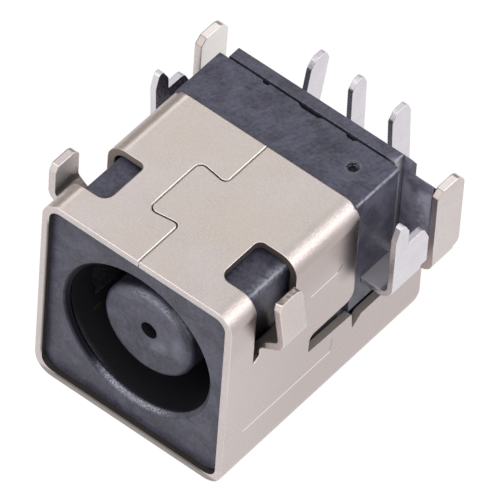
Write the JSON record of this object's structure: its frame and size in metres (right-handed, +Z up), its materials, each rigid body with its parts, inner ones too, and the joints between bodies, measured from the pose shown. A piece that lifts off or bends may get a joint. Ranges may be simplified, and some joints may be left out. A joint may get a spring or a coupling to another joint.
{
  "type": "dc barrel jack",
  "caption": "Right-angle power jack: black plastic body with a centre-post barrel socket, wrapped in a folded, plated metal shield with board tabs and flat solder pins.",
  "frame": {"origin": "on the flat face that the shield lies on, at the middle of its width and half-way between the shield's front edge and the rearmost pin", "axes": "+Z up, out of the resting face towards the pin tips; the plug enters along +Y; +X to the right seen from the front"},
  "size_m": [0.0134, 0.0155, 0.0108],
  "materials": {
    "shield_metal": "bright plated sheet, satin",
    "black_plastic": "moulded, fine matt, faint flow marks",
    "contact_metal": "tin plated, satin"
  },
  "bodies": {
    "root": {"shield": "shield_metal", "housing": "black_plastic", "rear_cover": "black_plastic", "signal_contact": "contact_metal", "inner_contact_left": "contact_metal", "inner_contact_right": "contact_metal", "outer_contact_left": "contact_metal", "outer_contact_right": "contact_metal"}
  },
  "joints": []
}
